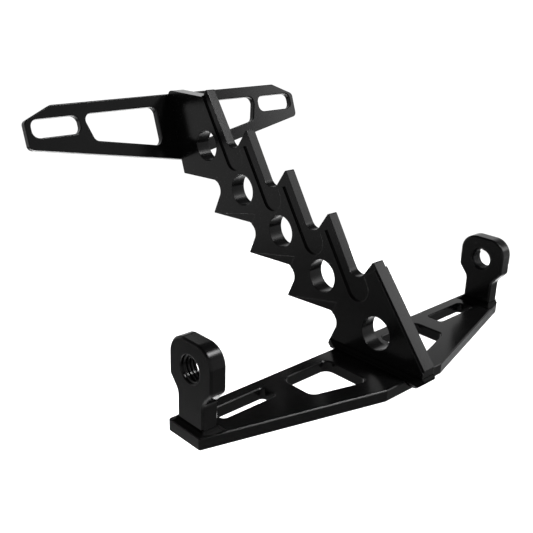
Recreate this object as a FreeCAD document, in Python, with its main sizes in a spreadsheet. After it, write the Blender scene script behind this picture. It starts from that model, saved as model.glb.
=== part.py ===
import FreeCAD, Part
import math
import os
import Sketcher

# Plate bracket for a motorcycle tail: a flat base, a toothed arm that rises from it,
# a cross plate at the arm's end and one upright lug at each end of the base.
# The origin lies on the underside of the base, midway between its two mounting slots.
# X runs along the base, Y towards the cross plate and Z up.

os.makedirs("parts", exist_ok=True)
doc = FreeCAD.newDocument("PlateBracket")
sheet = doc.addObject("Spreadsheet::Sheet", "Sizes")

sizes = [
    # base plate
    ("base_thick", 4.5),
    ("base_half", 81.3),
    ("base_back", 8.1),
    ("base_end_front", 7.4),
    ("base_tip_half", 15.4),
    ("base_tip", 25.2),
    ("base_end_round", 0.8),
    ("base_tip_round", 1.0),
    ("base_edge_break", 0.4),
    ("slot_inner", 45.8),
    ("slot_outer", 68.6),
    ("slot_width", 6.5),
    ("slot_round", 1.5),
    ("window_inner", 14.5),
    ("window_gap", 9.0),
    ("window_rail", 8.7),
    ("window_round", 2.8),
    # upright lugs
    ("lug_thick", 6.0),
    ("lug_inset", 1.3),
    ("lug_centre", 1.15),
    ("head_half", 10.0),
    ("head_top", 29.25),
    ("head_bottom", 15.2),
    ("head_round", 6.7),
    ("head_foot_round", 2.0),
    ("neck_half", 6.15),
    ("neck_top", 10.6),
    ("neck_round", 3.5),
    ("lug_edge_break", 0.6),
    ("bore_height", 20.0),
    ("bore_radius", 4.5),
    ("bore_edge_break", 0.3),
    # toothed arm
    ("arm_thick", 6.4),
    ("pitch", 25.5),
    ("pitch_angle", 26.9),
    ("flank_angle", 57.0),
    ("flank_run", 14.4),
    ("last_flank_run", 13.3),
    ("notch_place", 2.63),
    ("notch_rise", 25.86),
    ("notch_round", 4.2),
    ("first_tip_run", 30.0),
    ("first_tip_angle", 55.5),
    ("first_flank_drop", 3.3),
    ("arm_top", 81.9),
    ("arm_top_round", 2.4),
    ("long_edge_angle", 51.6),
    ("toe_reach", 30.2),
    ("spike_place", 13.1),
    ("spike_angle", 66.5),
    ("spike_run", 14.3),
    ("first_spike_height", 47.7),
    ("scallop_round", 4.2),
    ("tip_round", 0.5),
    ("arm_hole_radius", 6.3),
    ("hole_place", 18.3),
    ("hole_rise", 25.1),
    ("first_hole_lift", 2.6),
    ("last_hole_gap", 30.4),
    ("step_depth", 0.75),
    ("rear_step_depth", 1.5),
    ("step_cutter", 5.0),
    ("step_shift", 1.13),
    ("step_overrun", 1.15),
    ("long_step_width", 0.6),
    ("tip_step_run", 5.2),
    ("last_tip_step_run", 2.9),
    ("tip_step_width", 11.5),
    ("facet_depth", 0.35),
    ("facet_rise", 5.4),
    ("facet_length", 25.5),
    # cross plate
    ("wing_thick", 3.0),
    ("wing_angle", 19.5),
    ("wing_place", 113.3),
    ("wing_rise", 80.2),
    ("wing_half", 70.7),
    ("wing_corner_run", 12.1),
    ("wing_corner_drop", 5.2),
    ("wing_end_drop", 16.1),
    ("wing_depth", 28.9),
    ("wing_round", 2.2),
    ("wing_edge_break", 0.3),
    ("plate_slot_inner", 47.6),
    ("plate_slot_end", 2.4),
    ("plate_slot_width", 7.3),
    ("plate_slot_drop", 8.5),
    ("plate_slot_round", 3.0),
    ("wing_window_inner", 10.8),
    ("wing_window_gap", 1.8),
    ("wing_window_taper", 3.6),
    ("wing_window_drop", 4.7),
    ("wing_window_rail", 5.5),
    ("wing_window_round", 2.8),
    # joints between the pieces
    ("bead_leg", 2.0),
    ("bead_hollow", 4.0),
    ("bead_root", 0.6),
    ("bead_nose_run", 2.4),
    ("bead_nose_rise", 0.9),
    ("bead_bulge", 1.2),
    ("bead_heel_root", 1.2),
    ("bead_heel_run", 1.7),
    ("bead_heel_rise", 1.4),
    ("bead_end_half", 3.0),
    ("bead_low_half", 1.5),
    ("bead_nose_round", 1.4),
    ("screw_radius", 2.0),
    ("screw_length", 13.0),
    ("screw_head_radius", 3.9),
    ("screw_socket", 2.5),
    ("screw_socket_depth", 1.4),
    ("screw_upper_drop", 8.5),
    ("screw_spacing", 13.5),
    ("screw_clearance", 0.15),
    ("drill_spare", 1.0),
    ("thread_clearance", 0.05),
]
for row, (alias, value) in enumerate(sizes, start=1):
    sheet.set("A%d" % row, alias)
    sheet.set("B%d" % row, str(value))
    sheet.setAlias("B%d" % row, alias)
doc.recompute()


class Size:
    """A length or angle that carries its value and the sheet formula it comes from."""

    def __init__(self, value, text):
        self.value = float(value)
        self.text = text

    def __add__(self, other):
        other = asSize(other)
        return Size(self.value + other.value, "(%s + %s)" % (self.text, other.text))

    def __sub__(self, other):
        other = asSize(other)
        return Size(self.value - other.value, "(%s - %s)" % (self.text, other.text))

    def __mul__(self, other):
        other = asSize(other)
        return Size(self.value * other.value, "(%s * %s)" % (self.text, other.text))

    def __truediv__(self, other):
        other = asSize(other)
        return Size(self.value / other.value, "(%s / %s)" % (self.text, other.text))

    def __neg__(self):
        return Size(-self.value, "(0 - %s)" % self.text)

    def __radd__(self, other):
        return asSize(other) + self

    def __rsub__(self, other):
        return asSize(other) - self

    def __rmul__(self, other):
        return asSize(other) * self


def asSize(number):
    if isinstance(number, Size):
        return number
    return Size(number, repr(float(number)))


def size(alias):
    return Size(sheet.get(alias), "Sizes." + alias)


def cosine(angle):
    return Size(math.cos(math.radians(angle.value)), "cos(%s)" % angle.text)


def sine(angle):
    return Size(math.sin(math.radians(angle.value)), "sin(%s)" % angle.text)


def root(number):
    return Size(math.sqrt(number.value), "sqrt(%s)" % number.text)


def move(point, angle, run):
    return (point[0] + cosine(angle) * run, point[1] + sine(angle) * run)


def meet(start, angle, other, otherAngle):
    # the point where two lines cross, each given by a point and an angle
    gapX = other[0] - start[0]
    gapY = other[1] - start[1]
    cross = gapX * sine(otherAngle) - gapY * cosine(otherAngle)
    run = cross / sine(otherAngle - angle)
    return move(start, angle, run)


def newBody(name):
    body = doc.addObject("PartDesign::Body", name + "_body")
    body.Label = name
    return body


def newSketch(body, name, role, lift=None):
    sketch = body.newObject("Sketcher::SketchObject", name)
    plane = [item for item in body.Origin.OriginFeatures if item.Role == role][0]
    sketch.AttachmentSupport = (plane, [""])
    sketch.MapMode = "FlatFace"
    if lift is not None:
        sketch.AttachmentOffset = FreeCAD.Placement(
            FreeCAD.Vector(0, 0, lift.value), FreeCAD.Rotation())
        sketch.setExpression("AttachmentOffset.Base.z", lift.text)
    return sketch


def bind(sketch, kind, refs, amount):
    index = sketch.addConstraint(Sketcher.Constraint(kind, *refs, amount.value))
    sketch.setExpression("Constraints[%d]" % index, amount.text)


def pin(sketch, geo, pos, corner):
    for kind, axis, amount in (("DistanceX", -2, corner[0]), ("DistanceY", -1, corner[1])):
        amount = asSize(amount)
        if amount.text == "0.0":
            sketch.addConstraint(Sketcher.Constraint("PointOnObject", geo, pos, axis))
        else:
            bind(sketch, kind, (-1, 1, geo, pos), amount)


def addLoop(sketch, corners):
    first = sketch.GeometryCount
    count = len(corners)
    spots = [FreeCAD.Vector(asSize(x).value, asSize(y).value, 0) for x, y in corners]
    for i in range(count):
        sketch.addGeometry(Part.LineSegment(spots[i], spots[(i + 1) % count]), False)
    for i in range(count):
        sketch.addConstraint(
            Sketcher.Constraint("Coincident", first + i, 2, first + (i + 1) % count, 1))
    for i in range(count):
        pin(sketch, first + i, 1, corners[i])


def addCircle(sketch, centre, radius):
    spot = FreeCAD.Vector(asSize(centre[0]).value, asSize(centre[1]).value, 0)
    geo = sketch.addGeometry(Part.Circle(spot, FreeCAD.Vector(0, 0, 1), radius.value), False)
    bind(sketch, "Radius", (geo,), radius)
    pin(sketch, geo, 3, centre)


def pad(body, sketch, name, length, midplane=False, reverse=False):
    feature = body.newObject("PartDesign::Pad", name)
    feature.Profile = sketch
    feature.Length = length.value
    feature.setExpression("Length", length.text)
    feature.Midplane = midplane
    feature.Reversed = reverse
    doc.recompute()
    return feature


def pocket(body, sketch, name, length=None, midplane=False, reverse=False):
    before = body.Shape.Volume
    feature = body.newObject("PartDesign::Pocket", name)
    feature.Profile = sketch
    if length is None:
        feature.Type = "ThroughAll"
    else:
        feature.Length = length.value
        feature.setExpression("Length", length.text)
    feature.Midplane = midplane
    feature.Reversed = reverse
    doc.recompute()
    if body.Shape.Volume >= before - 1e-6:
        raise RuntimeError(name + " removed nothing")
    return feature


def edgeNames(shape, wanted):
    return ["Edge%d" % (i + 1) for i, edge in enumerate(shape.Edges) if wanted(edge)]


def dress(body, kind, name, amount, wanted):
    base = body.Tip
    names = edgeNames(base.Shape, wanted)
    if not names:
        raise RuntimeError(name + " found no edges")
    feature = body.newObject("PartDesign::" + kind, name)
    feature.Base = (base, names)
    attribute = "Radius" if kind == "Fillet" else "Size"
    setattr(feature, attribute, amount.value)
    feature.setExpression(attribute, amount.text)
    doc.recompute()
    return feature


def endsOf(edge):
    return edge.Vertexes[0].Point, edge.Vertexes[-1].Point


def runsAlong(edge, axis):
    # a straight edge parallel to the given axis
    if edge.Curve.TypeId != "Part::GeomLine":
        return False
    start, end = endsOf(edge)
    return abs((end - start).normalize().dot(axis)) > 0.9999


def nearAny(edge, spots, keys):
    # true where the edge's middle lies on one of the spots in the two named coordinates
    middle = edge.CenterOfMass
    here = [getattr(middle, key) for key in keys]
    return any(math.dist(here, spot) < 0.05 for spot in spots)


def onPlane(edge, axis, height):
    return all(abs(getattr(p, axis) - height) < 1e-4 for p in endsOf(edge)) and \
        abs(getattr(edge.CenterOfMass, axis) - height) < 1e-4


def place(item, spot, lean=None):
    # position from the sheet, with an optional lean about the X axis
    spot = [asSize(amount) for amount in spot]
    angle = 0 if lean is None else lean.value
    item.Placement = FreeCAD.Placement(
        FreeCAD.Vector(*[amount.value for amount in spot]),
        FreeCAD.Rotation(FreeCAD.Vector(-1, 0, 0), angle))
    for axis, amount in zip("xyz", spot):
        item.setExpression("Placement.Base." + axis, amount.text)
    if lean is not None:
        item.setExpression("Placement.Rotation.Angle", lean.text + " * 1 deg")


def values(corners):
    return [(asSize(x).value, asSize(y).value) for x, y in corners]


axisX = FreeCAD.Vector(1, 0, 0)
axisY = FreeCAD.Vector(0, 1, 0)
axisZ = FreeCAD.Vector(0, 0, 1)
baseThick = size("base_thick")


# Base plate: straight back edge, two swept front edges and a short flat tip.
def baseOutline():
    half, back = size("base_half"), size("base_back")
    endFront, tipHalf, tip = size("base_end_front"), size("base_tip_half"), size("base_tip")
    return [
        (half, back), (-half, back), (-half, -endFront),
        (-tipHalf, -tip), (tipHalf, -tip), (half, -endFront),
    ]


def buildBase():
    body = newBody("base_plate")
    outline = baseOutline()
    sketch = newSketch(body, "BaseOutline", "XY_Plane")
    addLoop(sketch, outline)
    pad(body, sketch, "BasePad", baseThick)
    ends = values([outline[0], outline[1], outline[2], outline[5]])
    tips = values([outline[3], outline[4]])
    dress(body, "Fillet", "BaseEndRounds", size("base_end_round"),
          lambda e: runsAlong(e, axisZ) and nearAny(e, ends, "xy"))
    dress(body, "Fillet", "BaseTipRounds", size("base_tip_round"),
          lambda e: runsAlong(e, axisZ) and nearAny(e, tips, "xy"))

    # one mounting slot and one window on each side of the arm
    edge = size("slot_width") / 2
    slotCut = newSketch(body, "MountSlots", "XY_Plane")
    windowCut = newSketch(body, "BaseWindows", "XY_Plane")
    slotSpots, windowSpots = [], []
    run = size("base_half") - size("base_tip_half")
    fall = (size("base_tip") - size("base_end_front")) / run
    for side in (-1, 1):
        near, far = size("slot_inner") * side, size("slot_outer") * side
        corners = [(near, -edge), (far, -edge), (far, edge), (near, edge)]
        addLoop(slotCut, corners)
        slotSpots += values(corners)
        inner, outer = size("window_inner"), size("slot_inner") - size("window_gap")
        frontInner = (outer - size("base_tip_half")) * fall
        foot = size("window_rail") - size("base_tip")
        reach = foot + frontInner
        corners = [
            (inner * side, edge), (outer * side, edge),
            (outer * side, reach), (inner * side, reach - (outer - inner) * fall),
        ]
        addLoop(windowCut, corners)
        windowSpots += values(corners)
    pocket(body, slotCut, "MountSlotCuts", midplane=True)
    pocket(body, windowCut, "BaseWindowCuts", midplane=True)
    dress(body, "Fillet", "SlotRounds", size("slot_round"),
          lambda e: runsAlong(e, axisZ) and nearAny(e, slotSpots, "xy"))
    dress(body, "Fillet", "WindowRounds", size("window_round"),
          lambda e: runsAlong(e, axisZ) and nearAny(e, windowSpots, "xy"))
    dress(body, "Chamfer", "BaseEdgeBreak", size("base_edge_break"),
          lambda e: onPlane(e, "z", 0) or onPlane(e, "z", baseThick.value))
    return body


# Upright lug: rounded head with the lamp stem's threaded bore, shoulders and a narrow neck.
def lugOutline():
    mid = -size("lug_centre")
    headHalf, neckHalf = size("head_half"), size("neck_half")
    top, bottom = baseThick + size("head_top"), baseThick + size("head_bottom")
    shoulder = baseThick + size("neck_top")
    return [
        (mid - neckHalf, baseThick), (mid + neckHalf, baseThick),
        (mid + neckHalf, shoulder), (mid + headHalf, bottom),
        (mid + headHalf, top), (mid - headHalf, top),
        (mid - headHalf, bottom), (mid - neckHalf, shoulder),
    ]


def buildLug(name, side):
    body = newBody(name)
    outline = lugOutline()
    sketch = newSketch(body, name + "_outline", "YZ_Plane")
    addLoop(sketch, outline)
    thick = size("lug_thick")
    pad(body, sketch, name + "_pad", thick, midplane=True)
    heads = values([outline[4], outline[5]])
    feet = values([outline[3], outline[6]])
    necks = values([outline[2], outline[7]])
    dress(body, "Fillet", name + "_head_rounds", size("head_round"),
          lambda e: runsAlong(e, axisX) and nearAny(e, heads, "yz"))
    dress(body, "Fillet", name + "_head_foot_rounds", size("head_foot_round"),
          lambda e: runsAlong(e, axisX) and nearAny(e, feet, "yz"))
    dress(body, "Fillet", name + "_neck_rounds", size("neck_round"),
          lambda e: runsAlong(e, axisX) and nearAny(e, necks, "yz"))
    half = thick.value / 2
    dress(body, "Chamfer", name + "_edge_break", size("lug_edge_break"),
          lambda e: (onPlane(e, "x", half) or onPlane(e, "x", -half))
          and e.CenterOfMass.z > baseThick.value + 0.01)
    bore = newSketch(body, name + "_bore", "YZ_Plane")
    height = baseThick + size("bore_height")
    addCircle(bore, (-size("lug_centre"), height), size("bore_radius"))
    pocket(body, bore, name + "_bore_cut", midplane=True)
    dress(body, "Chamfer", name + "_bore_break", size("bore_edge_break"),
          lambda e: (onPlane(e, "x", half) or onPlane(e, "x", -half))
          and e.Curve.TypeId == "Part::GeomCircle"
          and abs(e.Curve.Radius - size("bore_radius").value) < 1e-4)
    place(body, ((size("base_half") - size("lug_inset") - thick / 2) * side, 0, 0))
    return body


# Cross plate: its front face leans back and meets the end of the arm.
def onWing(run, out=0):
    # a point on the leaning plate: distance down its face and out from its front
    lean = size("wing_angle")
    return (
        0,
        size("wing_place") - run * sine(lean) + out * cosine(lean),
        baseThick + size("wing_rise") - run * cosine(lean) - out * sine(lean),
    )


def wingOutline():
    half = size("wing_half")
    topHalf = half - size("wing_corner_run")
    corner, end, depth = size("wing_corner_drop"), size("wing_end_drop"), size("wing_depth")
    return [
        (-topHalf, 0), (topHalf, 0), (half, -corner), (half, -end),
        (0, -depth), (-half, -end), (-half, -corner),
    ]


def screwDrops():
    upper = size("screw_upper_drop")
    return [upper, upper + size("screw_spacing")]


def buildWing():
    body = newBody("cross_plate")
    outline = wingOutline()
    sketch = newSketch(body, "WingOutline", "XZ_Plane")
    addLoop(sketch, outline)
    thick = size("wing_thick")
    pad(body, sketch, "WingPad", thick, reverse=True)
    spots = values([outline[i] for i in (0, 1, 2, 3, 5, 6)])
    dress(body, "Fillet", "WingRounds", size("wing_round"),
          lambda e: runsAlong(e, axisY) and nearAny(e, spots, "xz"))

    slotCut = newSketch(body, "PlateSlots", "XZ_Plane")
    windowCut = newSketch(body, "WingWindows", "XZ_Plane")
    slotSpots, windowSpots = [], []
    edge = size("plate_slot_width") / 2
    drop = size("plate_slot_drop")
    fall = (size("wing_depth") - size("wing_end_drop")) / size("wing_half")
    for side in (-1, 1):
        near = size("plate_slot_inner") * side
        far = (size("wing_half") - size("plate_slot_end")) * side
        corners = [(near, -drop - edge), (far, -drop - edge), (far, edge - drop), (near, edge - drop)]
        addLoop(slotCut, corners)
        slotSpots += values(corners)
        inner = size("wing_window_inner")
        outer = size("plate_slot_inner") - size("wing_window_gap")
        foot, top = outer - size("wing_window_taper"), -size("wing_window_drop")
        bottom = size("wing_window_rail") - size("wing_depth")
        corners = [
            (inner * side, top), (outer * side, top),
            (foot * side, bottom + foot * fall), (inner * side, bottom + inner * fall),
        ]
        addLoop(windowCut, corners)
        windowSpots += values(corners)
    pocket(body, slotCut, "PlateSlotCuts", midplane=True)
    pocket(body, windowCut, "WingWindowCuts", midplane=True)
    dress(body, "Fillet", "PlateSlotRounds", size("plate_slot_round"),
          lambda e: runsAlong(e, axisY) and nearAny(e, slotSpots, "xz"))
    dress(body, "Fillet", "WingWindowRounds", size("wing_window_round"),
          lambda e: runsAlong(e, axisY) and nearAny(e, windowSpots, "xz"))
    dress(body, "Chamfer", "WingEdgeBreak", size("wing_edge_break"),
          lambda e: onPlane(e, "y", 0) or onPlane(e, "y", thick.value))

    # screw holes with their countersinks on the back face
    holeRadius = size("screw_radius") + size("screw_clearance")
    sinkRadius = size("screw_head_radius") + size("screw_clearance")
    holes = newSketch(body, "ScrewHoles", "XZ_Plane")
    for down in screwDrops():
        addCircle(holes, (0, -down), holeRadius)
    pocket(body, holes, "ScrewHoleCuts", midplane=True)
    dress(body, "Chamfer", "ScrewSinks", sinkRadius - holeRadius,
          lambda e: onPlane(e, "y", thick.value) and e.Curve.TypeId == "Part::GeomCircle"
          and abs(e.Curve.Radius - holeRadius.value) < 1e-4)
    place(body, onWing(asSize(0)), size("wing_angle"))
    return body


# Countersunk screw through the cross plate into the end of the arm.
def buildScrew(name, down):
    body = newBody(name)
    radius, head = size("screw_radius"), size("screw_head_radius")
    # the head's cone rests in its sink, a little below the plate's back face
    top = size("wing_thick") - size("screw_clearance")
    tipEnd = top - size("screw_length")
    profile = newSketch(body, name + "_profile", "XY_Plane")
    addLoop(profile, [
        (0, top), (head, top), (radius, top - (head - radius)), (radius, tipEnd), (0, tipEnd),
    ])
    turned = body.newObject("PartDesign::Revolution", name + "_turned")
    turned.Profile = profile
    turned.ReferenceAxis = (profile, ["V_Axis"])
    turned.Angle = 360
    doc.recompute()
    socket = newSketch(body, name + "_socket", "XZ_Plane", -top)
    reach = size("screw_socket") / 2
    across = reach / cosine(asSize(30))
    addLoop(socket, [
        (across, 0), (across / 2, reach), (-across / 2, reach),
        (-across, 0), (-across / 2, -reach), (across / 2, -reach),
    ])
    pocket(body, socket, name + "_socket_cut", size("screw_socket_depth"), reverse=True)
    place(body, onWing(down), size("wing_angle"))
    return body


# Toothed arm, cut from plate: all outline points lie in the YZ plane.
slope = size("pitch_angle")
stepY = size("pitch") * cosine(slope)
stepZ = size("pitch") * sine(slope)
flankUp = size("flank_angle")
flankBack = 180 - size("flank_angle")
lastNotch = (size("notch_place"), baseThick + size("notch_rise"))
lastSpike = (size("spike_place"), baseThick)
spikeUp = 180 - size("spike_angle")
wingFoot = (size("wing_place"), baseThick + size("wing_rise"))
wingUp = 90 - size("wing_angle")


def along(point, count):
    return (point[0] + stepY * count, point[1] + stepZ * count)


def atHeight(point, angle, height):
    # the point at this height on a line given by a point and an angle
    return (point[0] + (height - point[1]) * cosine(angle) / sine(angle), height)


def armOutline():
    notches = [along(lastNotch, 3 - k) for k in range(4)]
    tips = [move(notches[0], size("first_tip_angle"), size("first_tip_run"))]
    tips += [move(notch, flankBack, size("flank_run")) for notch in notches[:3]]
    tips.append(move(notches[3], flankBack, size("last_flank_run")))
    top = baseThick + size("arm_top")
    rear = atHeight(wingFoot, wingUp, top)
    drop = size("first_flank_drop")
    flankFoot = (tips[0][0] + drop * cosine(flankUp) / sine(flankUp), tips[0][1] - drop)
    upper = [rear, flankFoot]
    for tip, notch in zip(tips, notches):
        upper += [tip, notch]
    upper.append(tips[4])
    toe = -size("toe_reach")
    edgeAngle = size("long_edge_angle")
    toeTop = tips[4][1] - (tips[4][0] - toe) * sine(edgeAngle) / cosine(edgeAngle)
    foot = [(toe, toeTop), (toe, baseThick)]
    spikes = [along(lastSpike, k) for k in range(4)]
    firstSpike = atHeight(wingFoot, wingUp, baseThick + size("first_spike_height"))
    corners = [move(spike, spikeUp, size("spike_run")) for spike in spikes[:3]]
    # the first scallop starts from the raised spike beside the cross plate
    ledge = math.degrees(math.atan2(
        corners[0][1].value - spikes[1][1].value, spikes[1][0].value - corners[0][0].value))
    corners.append(meet(spikes[3], spikeUp, firstSpike, asSize(180 - ledge)))
    lower = []
    for spike, corner in zip(spikes, corners):
        lower += [spike, corner]
    lower.append(firstSpike)
    return {
        "points": upper + foot + lower, "tips": tips, "notches": notches,
        "spikes": spikes + [firstSpike], "corners": corners, "rear": rear, "toeTop": toeTop,
    }


def buildArm():
    body = newBody("arm_plate")
    form = armOutline()
    thick = size("arm_thick")
    sketch = newSketch(body, "ArmOutline", "YZ_Plane")
    addLoop(sketch, form["points"])
    pad(body, sketch, "ArmPad", thick, midplane=True)
    notchSpots = values(form["notches"])
    scallopSpots = values(form["corners"])
    tipSpots = values(form["tips"] + form["spikes"][1:])
    dress(body, "Fillet", "NotchRounds", size("notch_round"),
          lambda e: runsAlong(e, axisX) and nearAny(e, notchSpots, "yz"))
    dress(body, "Fillet", "ScallopRounds", size("scallop_round"),
          lambda e: runsAlong(e, axisX) and nearAny(e, scallopSpots, "yz"))
    dress(body, "Fillet", "TipRounds", size("tip_round"),
          lambda e: runsAlong(e, axisX) and nearAny(e, tipSpots, "yz"))
    dress(body, "Fillet", "ArmTopRound", size("arm_top_round"),
          lambda e: runsAlong(e, axisX) and nearAny(e, values([form["rear"]]), "yz"))

    # five round holes; the first sits higher and the last stands further off
    holes = newSketch(body, "ArmHoles", "YZ_Plane")
    third = (size("hole_place"), baseThick + size("hole_rise"))
    centres = [along(third, 2), along(third, 1), third]
    first = along(third, 3)
    centres.append((first[0], first[1] + size("first_hole_lift")))
    gap = size("last_hole_gap")
    centres.append((third[0] - gap * cosine(slope), third[1] - gap * sine(slope)))
    for centre in centres:
        addCircle(holes, centre, size("arm_hole_radius"))
    pocket(body, holes, "ArmHoleCuts", midplane=True)

    # a step milled along each tooth on both faces, shallow on the left and deeper on
    # the right; the cutter stops under the notch and also clears the tooth's tip
    near = -thick / 2
    addToothSteps(body, form, "Left", near, size("step_depth"), True)
    addToothSteps(body, form, "Right", thick / 2, size("rear_step_depth"), False)

    # narrow step along the last tooth's long edge on the left face
    strip = newSketch(body, "LongStep", "YZ_Plane", near)
    edgeAngle, margin = size("long_edge_angle"), size("step_cutter")
    addLoop(strip, band(form["tips"][4], edgeAngle, margin, -size("first_tip_run") * 2,
                        margin, size("long_step_width")))
    pocket(body, strip, "LongStepCut", size("step_depth"), reverse=True)

    # the last tooth's tip is cut back alike on both faces
    for face, lift, reverse in (("Left", near, True), ("Right", thick / 2, False)):
        tip = newSketch(body, face + "LastTip", "YZ_Plane", lift)
        addLoop(tip, band(form["tips"][4], edgeAngle, margin, -size("last_tip_step_run"),
                          margin, size("tip_step_width")))
        pocket(body, tip, face + "LastTipCut", size("step_depth"), reverse=reverse)

    # shallow tapered facets above the lower edge of each spike
    facets = newSketch(body, "SpikeFacets", "YZ_Plane", near)
    for spike in form["spikes"][1:4]:
        far = (spike[0] - size("facet_length"), spike[1] + size("facet_rise"))
        addLoop(facets, [spike, far, move(far, spikeUp, -size("facet_rise"))])
    pocket(body, facets, "SpikeFacetCuts", size("facet_depth"), reverse=True)

    # tapped holes for the cross plate's screws
    drill = newSketch(body, "ScrewDrill", "XZ_Plane")
    drill.MapMode = "Deactivated"
    place(drill, onWing(asSize(0)), size("wing_angle") - 90)
    for down in screwDrops():
        addCircle(drill, (0, -down), size("screw_radius") + size("thread_clearance"))
    reach = size("screw_length") - size("wing_thick") + size("drill_spare")
    pocket(body, drill, "ScrewDrillCuts", reach, reverse=True)
    return body


def band(point, angle, start, end, outward, inward):
    # a rectangle laid along a line: its reach along it and to both sides of it
    first, last = move(point, angle, start), move(point, angle, end)
    return [
        move(first, angle - 90, inward), move(first, angle - 90, -outward),
        move(last, angle - 90, -outward), move(last, angle - 90, inward),
    ]


def addToothSteps(body, form, face, lift, depth, reverse):
    cutter, inward = size("step_cutter"), size("tip_step_width")
    steps = newSketch(body, face + "ToothSteps", "YZ_Plane", lift)
    for notch in form["notches"]:
        middle = move(notch, flankUp + 90, size("step_shift"))
        middle = move(middle, flankUp, -size("step_overrun"))
        addCutterPath(steps, middle, flankUp, cutter, size("first_tip_run") + cutter * 2)
    pocket(body, steps, face + "ToothStepCuts", depth, reverse=reverse)
    tips = newSketch(body, face + "TipSteps", "YZ_Plane", lift)
    for tip in form["tips"][1:4]:
        addLoop(tips, band(tip, flankUp, cutter, -size("tip_step_run"), cutter, inward))
    pocket(body, tips, face + "TipStepCuts", depth, reverse=reverse)


def addCutterPath(sketch, middle, angle, radius, run):
    # half-round end at the middle point and two straight sides along the angle
    centre = FreeCAD.Vector(middle[0].value, middle[1].value, 0)
    turn = math.radians(angle.value)
    ahead = FreeCAD.Vector(math.cos(turn), math.sin(turn), 0)
    left = FreeCAD.Vector(-ahead.y, ahead.x, 0)
    reach = radius.value
    arc = sketch.addGeometry(Part.ArcOfCircle(
        Part.Circle(centre, axisZ, reach), turn + math.pi / 2, turn + 3 * math.pi / 2), False)
    farLeft = centre + left * reach + ahead * run.value
    farRight = centre - left * reach + ahead * run.value
    right = sketch.addGeometry(Part.LineSegment(centre - left * reach, farRight), False)
    end = sketch.addGeometry(Part.LineSegment(farRight, farLeft), False)
    back = sketch.addGeometry(Part.LineSegment(farLeft, centre + left * reach), False)
    sketch.addConstraint([
        Sketcher.Constraint("Tangent", arc, 2, right, 1),
        Sketcher.Constraint("Coincident", right, 2, end, 1),
        Sketcher.Constraint("Coincident", end, 2, back, 1),
        Sketcher.Constraint("Tangent", back, 2, arc, 1),
        Sketcher.Constraint("Perpendicular", right, end),
    ])
    bind(sketch, "Radius", (arc,), radius)
    pin(sketch, arc, 3, middle)
    bind(sketch, "Distance", (right,), run)
    index = sketch.addConstraint(Sketcher.Constraint("Angle", right, turn))
    sketch.setExpression("Constraints[%d]" % index, angle.text + " * 1 deg")


# Weld beads close the root of each upright piece.
def buildLugBead(name, side):
    body = newBody(name + "_ring")
    leg = size("bead_leg")
    mid, neck, half = -size("lug_centre"), size("neck_half"), size("lug_thick") / 2
    centre = (size("base_half") - size("lug_inset") - half) * side
    foot = [
        (centre - half, mid - neck), (centre + half, mid - neck),
        (centre + half, mid + neck), (centre - half, mid + neck),
    ]
    reach = leg * 2
    pan = [
        (centre - half - reach, mid - neck - reach), (centre + half + reach, mid - neck - reach),
        (centre + half + reach, mid + neck + reach), (centre - half - reach, mid + neck + reach),
    ]
    floor = newSketch(body, name + "_floor", "XY_Plane")
    addLoop(floor, pan)
    pad(body, floor, name + "_floor_pad", baseThick)
    stub = newSketch(body, name + "_stub", "XY_Plane")
    addLoop(stub, foot)
    pad(body, stub, name + "_stub_pad", baseThick + leg * 2)
    dress(body, "Fillet", name + "_root", leg,
          lambda e: onPlane(e, "z", baseThick.value)
          and abs(e.CenterOfMass.x - centre.value) < half.value + 0.01
          and abs(e.CenterOfMass.y - mid.value) < neck.value + 0.01)
    pocket(body, floor, name + "_floor_cut", baseThick, reverse=True)
    pocket(body, stub, name + "_stub_cut", midplane=True)
    ring = body

    # the bead ends where the base plate's outline ends
    limit = newBody(name + "_limit")
    outline = newSketch(limit, name + "_limit_outline", "XY_Plane")
    addLoop(outline, baseOutline())
    pad(limit, outline, name + "_limit_pad", baseThick + leg * 2)
    bead = doc.addObject("Part::Common", name)
    bead.Base = ring
    bead.Tool = limit
    bead.Label = name
    return bead


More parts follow.
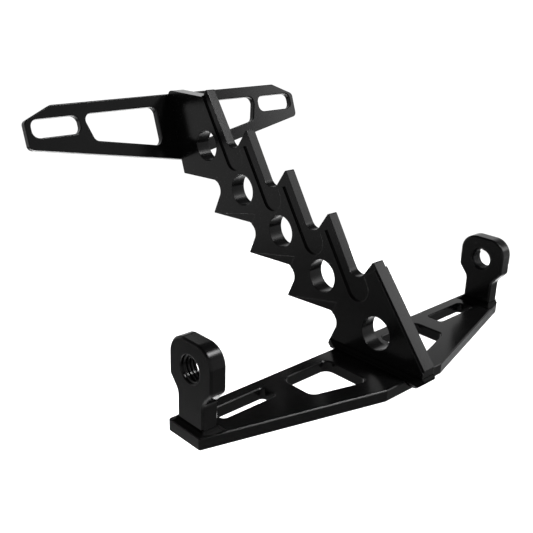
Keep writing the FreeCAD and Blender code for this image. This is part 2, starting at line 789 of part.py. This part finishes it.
def buildArmBead():
    body = newBody("arm_bead")
    leg, foot = size("bead_leg"), baseThick
    half = size("arm_thick") / 2
    width = size("arm_thick") + leg * 2
    front, back, toe = -size("base_tip"), size("base_back"), -size("toe_reach")
    form = armOutline()
    heel = form["spikes"][0]
    heelTop = atHeight(heel, spikeUp, foot + leg)

    # side view of the bead: it wraps under the overhanging toe and heel
    low = size("bead_root")
    toeOut = toe - size("bead_bulge")
    heelOut = heel[0] + low / 2
    profile = newSketch(body, "BeadProfile", "YZ_Plane")
    addLoop(profile, [
        (front, low), (back, size("bead_heel_root")),
        (heel[0] - size("bead_heel_run"), foot - size("bead_heel_rise")),
        (heelOut, foot - low), heelTop,
        (toe, foot + leg), (toeOut, foot + leg / 2), (toeOut + low, foot),
        (front - size("bead_nose_run"), low + size("bead_nose_rise")),
    ])
    pad(body, profile, "BeadPad", width, midplane=True)
    noseSpots = values([(toeOut, foot + leg / 2), (toeOut + low, foot)])
    dress(body, "Fillet", "BeadNoseRound", size("bead_nose_round") / 2,
          lambda e: runsAlong(e, axisX) and nearAny(e, noseSpots, "yz"))

    # seen from above it narrows past both edges of the base plate
    plan = newSketch(body, "BeadPlan", "XY_Plane")
    side, end = width / 2, size("bead_end_half")
    rim = toe * 2
    addLoop(plan, [(rim, rim), (-rim, rim), (-rim, -rim), (rim, -rim)])
    planSpots = [(end, toeOut), (-end, toeOut), (-end, heelOut), (end, heelOut)]
    addLoop(plan, [
        (side, back), (side, front), planSpots[0], planSpots[1],
        (-side, front), (-side, back), planSpots[2], planSpots[3],
    ])
    pocket(body, plan, "BeadPlanCut", midplane=True)

    # seen from the front it narrows below the top of the base plate
    taper = newSketch(body, "BeadTaper", "XZ_Plane")
    below = size("bead_low_half")
    for turn in (-1, 1):
        addLoop(taper, [
            (side * turn, foot), (below * turn, low), (below * turn, -leg), ((side + leg) * turn, -leg),
            ((side + leg) * turn, foot),
        ])
    pocket(body, taper, "BeadTaperCut", midplane=True)

    # hollow flanks along both sides of the foot
    reach = leg / 2 + root((size("bead_hollow") * size("bead_hollow") - leg * leg / 2) / 2)
    flanks = newSketch(body, "BeadFlanks", "XZ_Plane")
    for side in (-1, 1):
        addCircle(flanks, ((half + reach) * side, foot + reach), size("bead_hollow"))
    pocket(body, flanks, "BeadFlankCuts", midplane=True)

    # room for the base plate and for the arm's foot
    floor = newSketch(body, "BeadFloor", "YZ_Plane")
    addLoop(floor, [(front, -leg), (back, -leg), (back, foot), (front, foot)])
    pocket(body, floor, "BeadFloorCut", midplane=True)
    stub = newSketch(body, "BeadStub", "YZ_Plane")
    over = foot + leg * 2
    addLoop(stub, [
        (toe, foot), heel, atHeight(heel, spikeUp, over),
        atHeight(form["tips"][4], size("long_edge_angle"), over), (toe, form["toeTop"]),
    ])
    pocket(body, stub, "BeadStubCut", size("arm_thick"), midplane=True)
    return body


built = [buildBase(), buildLug("lug_left", -1), buildLug("lug_right", 1), buildWing(), buildArm()]
built += [buildLugBead("lug_bead_left", -1), buildLugBead("lug_bead_right", 1), buildArmBead()]
built += [buildScrew(name, down) for name, down in zip(("screw_upper", "screw_lower"), screwDrops())]

doc.recompute()
for item in doc.Objects:
    if "Invalid" in item.State or "Error" in item.State:
        raise RuntimeError("%s did not compute: %s" % (item.Name, item.State))
for item in built:
    shape = item.Shape
    if shape.isNull() or not shape.isValid():
        raise RuntimeError(item.Label + " has no valid shape")
    shape.exportStep("parts/%s.step" % item.Label)
    print(item.Label, len(shape.Solids), round(shape.Volume, 1))
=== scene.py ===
import math

import bmesh
import bpy
from mathutils import Euler, Matrix, Vector


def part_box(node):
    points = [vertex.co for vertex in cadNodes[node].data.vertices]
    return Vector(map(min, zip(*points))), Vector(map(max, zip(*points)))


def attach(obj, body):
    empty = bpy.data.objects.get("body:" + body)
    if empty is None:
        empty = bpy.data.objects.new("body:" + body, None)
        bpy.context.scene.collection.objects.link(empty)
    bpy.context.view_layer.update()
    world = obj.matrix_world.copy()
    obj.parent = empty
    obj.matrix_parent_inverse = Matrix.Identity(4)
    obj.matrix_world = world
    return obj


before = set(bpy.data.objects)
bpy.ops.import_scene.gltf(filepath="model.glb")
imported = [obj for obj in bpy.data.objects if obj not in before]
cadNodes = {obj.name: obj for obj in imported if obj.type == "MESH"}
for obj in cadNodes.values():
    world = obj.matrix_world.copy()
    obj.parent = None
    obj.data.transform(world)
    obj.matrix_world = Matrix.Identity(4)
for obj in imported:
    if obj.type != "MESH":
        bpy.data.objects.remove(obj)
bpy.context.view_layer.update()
print("stage: frame loaded")


def addObject(name, data):
    made = bpy.data.objects.new(name, data)
    bpy.context.scene.collection.objects.link(made)
    return made


# shader helpers: a value that is a socket is linked, any other is set
def addNode(tree, kind, inputs=None, **settings):
    node = tree.nodes.new(kind)
    for key, value in settings.items():
        setattr(node, key, value)
    for key, value in (inputs or {}).items():
        if isinstance(value, bpy.types.NodeSocket):
            tree.links.new(value, node.inputs[key])
        else:
            node.inputs[key].default_value = value
    return node


def mathNode(tree, operation, first, second, clamp=False):
    return addNode(tree, "ShaderNodeMath", {0: first, 1: second}, operation=operation,
                   use_clamp=clamp).outputs[0]


def spanNode(tree, value, source, target):
    return addNode(tree, "ShaderNodeMapRange", {
        "Value": value, "From Min": source[0], "From Max": source[1],
        "To Min": target[0], "To Max": target[1],
    }).outputs["Result"]


def noiseNode(tree, place, scale, octaves, stretch=None):
    detail, rough = octaves
    if stretch:
        place = addNode(tree, "ShaderNodeMapping",
                        {"Vector": place, "Scale": stretch}).outputs["Vector"]
    return addNode(tree, "ShaderNodeTexNoise", {
        "Vector": place, "Scale": scale, "Detail": detail, "Roughness": rough,
    }).outputs["Fac"]


def shadeNode(tree, colour, tint):
    return addNode(tree, "ShaderNodeVectorMath", {0: colour, "Scale": tint},
                   operation="SCALE").outputs["Vector"]


# black anodised aluminium: a dark body under a thin clear skin, with a painted highlight along
# its rims, stronger in some patches than in others
def anodised(name, look):
    material = bpy.data.materials.new(name)
    material.use_nodes = True
    tree = material.node_tree
    shader = tree.nodes["Principled BSDF"]
    place = addNode(tree, "ShaderNodeTexCoord").outputs["Object"]
    cloud = noiseNode(tree, place, look["cloudScale"], look["cloudOctaves"])
    grain = noiseNode(tree, place, look["grainScale"], look["grainOctaves"])
    tool = noiseNode(tree, place, look["toolScale"], look["toolOctaves"], look["toolStretch"])
    # rims are where the rounded normal leaves the face's own
    rounded = addNode(tree, "ShaderNodeBevel", {"Radius": look["rimRadius"]},
                      samples=look["rimSamples"]).outputs["Normal"]
    flat = addNode(tree, "ShaderNodeNewGeometry").outputs["Normal"]
    turn = addNode(tree, "ShaderNodeVectorMath", {0: rounded, 1: flat},
                   operation="DOT_PRODUCT").outputs["Value"]
    rim = spanNode(tree, turn, look["rimTurn"], (0.0, 1.0))
    patches = spanNode(tree, cloud, look["patchRange"], look["patchHighlight"])
    # painted highlight: the lighter rim colour is mixed in on the rims, more strongly in some
    # patches
    rimHighlight = mathNode(tree, "MULTIPLY", rim, patches, True)
    tint = spanNode(tree, cloud, look["noiseRange"], look["tint"])
    dark = addNode(tree, "ShaderNodeMix", {  # 6 and 7 are its two colours, 2 the mixed one
        "Factor": rimHighlight, 6: look["colour"], 7: look["rimHighlightColour"],
    }, data_type="RGBA").outputs[2]
    tree.links.new(shadeNode(tree, dark, tint), shader.inputs["Base Color"])
    rough = mathNode(tree, "ADD", spanNode(tree, cloud, look["noiseRange"], look["rough"]),
                     spanNode(tree, grain, look["noiseRange"], look["grainRough"]))
    tree.links.new(rough, shader.inputs["Roughness"])
    height = mathNode(tree, "ADD", mathNode(tree, "MULTIPLY", grain, look["grainHeight"]),
                      mathNode(tree, "MULTIPLY", tool, look["toolHeight"]))
    bump = addNode(tree, "ShaderNodeBump", {
        "Strength": 1.0, "Distance": 1.0, "Height": height, "Normal": rounded})
    tree.links.new(bump.outputs["Normal"], shader.inputs["Normal"])
    shader.inputs["Specular IOR Level"].default_value = look["gloss"]
    shader.inputs["IOR"].default_value = look["skinIndex"]
    return material


# lengths are in metres, scales in cycles per metre, rimTurn in cosines of the angle turned
# octaves are a noise's detail and roughness
blackLook = dict(
    colour=(0.0014, 0.0014, 0.00145, 1), tint=(0.85, 1.15), gloss=0.12, skinIndex=1.5,
    rough=(0.16, 0.22), grainRough=(-0.015, 0.015), noiseRange=(0.3, 0.7),
    cloudScale=60, cloudOctaves=(4.0, 0.6),
    grainScale=5200, grainOctaves=(2.0, 0.6), grainHeight=0.0000025,
    toolScale=2200, toolOctaves=(2.0, 0.5), toolStretch=(0.04, 1, 1), toolHeight=0.0000022,
    # the rim colour and the patch range and strength set a painted highlight along the rims
    rimHighlightColour=(0.003, 0.003, 0.0032, 1), rimRadius=0.0003, rimSamples=6, rimTurn=(0.985, 0.80),
    patchRange=(0.35, 0.65), patchHighlight=(0.4, 1.0))

baseLook = dict(blackLook)
lugLook = dict(blackLook, rimRadius=0.0004)
armLook = dict(blackLook, grainScale=2600, grainHeight=0.000009)
crossLook = dict(blackLook)
beadLook = dict(
    blackLook, colour=(0.0012, 0.0012, 0.0012, 1), rimHighlightColour=(0.0014, 0.0014, 0.0014, 1),
    gloss=0.02, rough=(0.5, 0.6), toolScale=420, toolHeight=0.00004, rimRadius=0.0006)
screwLook = dict(blackLook, rough=(0.28, 0.38), rimRadius=0.0002)

finishes = dict(
    base_plate=anodised("base_anodised", baseLook),
    lug_left=anodised("lug_anodised", lugLook),
    arm_plate=anodised("arm_anodised", armLook),
    cross_plate=anodised("cross_anodised", crossLook),
    lug_bead_left=anodised("bead_anodised", beadLook),
    screw_upper=anodised("screw_oxide", screwLook))
finishes["lug_right"] = finishes["lug_left"]
finishes["lug_bead_right"] = finishes["arm_bead"] = finishes["lug_bead_left"]
finishes["screw_lower"] = finishes["screw_upper"]

for name, node in cadNodes.items():
    if not node.material_slots:
        node.data.materials.append(None)
    for holder in node.material_slots:
        holder.material = finishes[name]
print("stage: finishes on", len(cadNodes), "nodes")


# thread turns that stand in from the wall of each lug's bore, which runs along x
threadShape = dict(
    middleY=-0.00115, middleZ=0.0245, wall=0.00456, crest=0.00395, pitch=0.00125,
    footShare=0.94,  # a tooth's foot as a share of the pitch
    crestShare=0.4,  # its crest as a share of its foot
    steps=40,  # in one turn
    fade=0.0001, sinkShare=0.9)


def buildThread(name, lug):
    shape = threadShape
    low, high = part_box(lug)
    middle = Vector((0, shape["middleY"], shape["middleZ"]))
    turns = (high.x - low.x) / shape["pitch"] - 1
    depth = shape["wall"] - shape["crest"]
    # one tooth of the thread: a quad narrowed at its crest, above the middle line
    mesh = bmesh.new()
    bmesh.ops.create_grid(mesh, x_segments=1, y_segments=1, size=0.5)
    crests = [vert for vert in mesh.verts if vert.co.y < 0]
    bmesh.ops.scale(mesh, vec=(shape["crestShare"], 1, 1), verts=crests)
    bmesh.ops.scale(mesh, vec=(shape["pitch"] * shape["footShare"], depth, 1), verts=mesh.verts)
    bmesh.ops.rotate(mesh, matrix=Matrix.Rotation(math.pi / 2, 3, "X"), verts=mesh.verts)
    lift = Vector((low.x + shape["pitch"] / 2, 0, shape["wall"] - depth / 2))
    bmesh.ops.translate(mesh, vec=middle + lift, verts=mesh.verts)
    count = round(turns * shape["steps"])
    bmesh.ops.spin(mesh, geom=mesh.verts[:] + mesh.edges[:] + mesh.faces[:], cent=middle,
                   axis=(1, 0, 0), dvec=(turns * shape["pitch"] / count, 0, 0),
                   angle=2 * math.pi * turns, steps=count)
    # the crest sinks into the wall at the bore's mouths, and is up again two fades further in
    for vert in mesh.verts:
        spoke = Vector((0, vert.co.y - middle.y, vert.co.z - middle.z))
        near = min(vert.co.x - low.x, high.x - vert.co.x) / shape["fade"] - 1
        if spoke.length < shape["wall"] - depth / 2 and near < 1:
            sink = depth * min(1 - max(0.0, near), shape["sinkShare"])
            vert.co += spoke.normalized() * sink
    bmesh.ops.recalc_face_normals(mesh, faces=mesh.faces)
    data = bpy.data.meshes.new(name)
    mesh.to_mesh(data)
    mesh.free()
    piece = addObject(name, data)
    data.materials.append(finishes[lug])
    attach(piece, "root")


buildThread("bore_thread_left", "lug_left")
buildThread("bore_thread_right", "lug_right")
print("stage: bore threads")


# plain paper floor, so far below the part that the photograph's view shows no shadow on it
floorShape = dict(radius=1.2, height=-0.36, segments=128)
floorLook = dict(colour=(0.97, 0.97, 0.97), rough=0.9, cloudScale=3.0, cloudOctaves=(3.0, 0.5),
                 noiseRange=(0.3, 0.7), tint=(0.99, 1.0))


def paper(name, look):
    material = bpy.data.materials.new(name)
    material.use_nodes = True
    tree = material.node_tree
    shader = tree.nodes["Principled BSDF"]
    place = addNode(tree, "ShaderNodeTexCoord").outputs["Object"]
    cloud = noiseNode(tree, place, look["cloudScale"], look["cloudOctaves"])
    tint = spanNode(tree, cloud, look["noiseRange"], look["tint"])
    tree.links.new(shadeNode(tree, look["colour"], tint), shader.inputs["Base Color"])
    shader.inputs["Roughness"].default_value = look["rough"]
    shader.inputs["Specular IOR Level"].default_value = 0.0
    return material


floorMesh = bmesh.new()
bmesh.ops.create_circle(floorMesh, cap_ends=True, segments=floorShape["segments"],
                        radius=floorShape["radius"],
                        matrix=Matrix.Translation((0, 0, floorShape["height"])))
floorData = bpy.data.meshes.new("floor")
floorMesh.to_mesh(floorData)
floorMesh.free()
floor = addObject("floor", floorData)
floorData.materials.append(paper("floor_paper", floorLook))

# bright walls all round, a dim ceiling, and a dim ground past the floor
# top and foot are the sines of the elevations between which the light changes
studioWalls = dict(level=1.06, ceiling=0.10, ground=0.3, top=(0.42, 0.54), foot=(-0.46, -0.36))
world = bpy.data.worlds.new("studio")
world.use_nodes = True
worldTree = world.node_tree
backdrop = worldTree.nodes["Background"]
heading = addNode(worldTree, "ShaderNodeTexCoord").outputs["Generated"]
rise = addNode(worldTree, "ShaderNodeSeparateXYZ", {"Vector": heading}).outputs["Z"]
upper = spanNode(worldTree, rise, studioWalls["top"],
                 (studioWalls["level"], studioWalls["ceiling"]))
lower = spanNode(worldTree, rise, studioWalls["foot"],
                 (studioWalls["ground"], studioWalls["level"]))
walls = mathNode(worldTree, "MINIMUM", upper, lower)
worldTree.links.new(walls, backdrop.inputs["Strength"])
backdrop.inputs["Color"].default_value = (1, 1, 1, 1)
bpy.context.scene.world = world

# a tall strip to the right and a wide box above it, which the edges that face them mirror
softLights = dict(
    tall_strip=dict(azimuth=-30.5, distance=0.90, middle=0.59, size=(0.24, 0.76), radiance=4.8,
                    spread=180, aim=(0, 0, 0.59)),
    wide_box=dict(azimuth=-47.0, distance=0.80, middle=1.05, size=(0.95, 0.34), radiance=3.6,
                  spread=28, aim=(-0.03, 0, -0.2)))
for name, light in softLights.items():
    width, height = light["size"]
    turn = math.radians(light["azimuth"])
    place = Vector((math.cos(turn), math.sin(turn), 0)) * light["distance"]
    place.z = light["middle"]
    softData = bpy.data.lights.new(name, "AREA")
    softData.shape = "RECTANGLE"
    softData.size, softData.size_y = width, height
    softData.energy = light["radiance"] * math.pi * width * height
    softData.spread = math.radians(light["spread"])
    softLight = addObject(name, softData)
    softLight.location = place
    sight = Vector(light["aim"]) - place
    softLight.rotation_euler = sight.to_track_quat("-Z", "Y").to_euler()

# a spot from straight above whitens the floor behind the part and misses the part
floorSpot = dict(place=(0.50, 0.68, 1.5), radius=0.10, cone=44, blend=0.2, power=240)
spotData = bpy.data.lights.new("floor_spot", "SPOT")
spotData.energy = floorSpot["power"]
spotData.spot_size = math.radians(floorSpot["cone"])
spotData.spot_blend = floorSpot["blend"]
spotData.shadow_soft_size = floorSpot["radius"]
addObject("floor_spot", spotData).location = floorSpot["place"]

# the photograph's camera: sensor and lens in millimetres, turn in degrees
photoCamera = dict(sensor=36, lens=52.7085, place=(-0.2045785, -0.1637990, 0.1332704),
                   turn=(69.5971, -1.6437, -42.9084))
cameraData = bpy.data.cameras.new("photo_camera")
cameraData.sensor_width = photoCamera["sensor"]
cameraData.lens = photoCamera["lens"]
camera = addObject("photo_camera", cameraData)
camera.location = photoCamera["place"]
camera.rotation_euler = Euler([math.radians(angle) for angle in photoCamera["turn"]], "XYZ")
bpy.context.scene.camera = camera
bpy.context.scene.view_settings.view_transform = "Standard"
print("stage: floor, light and camera")
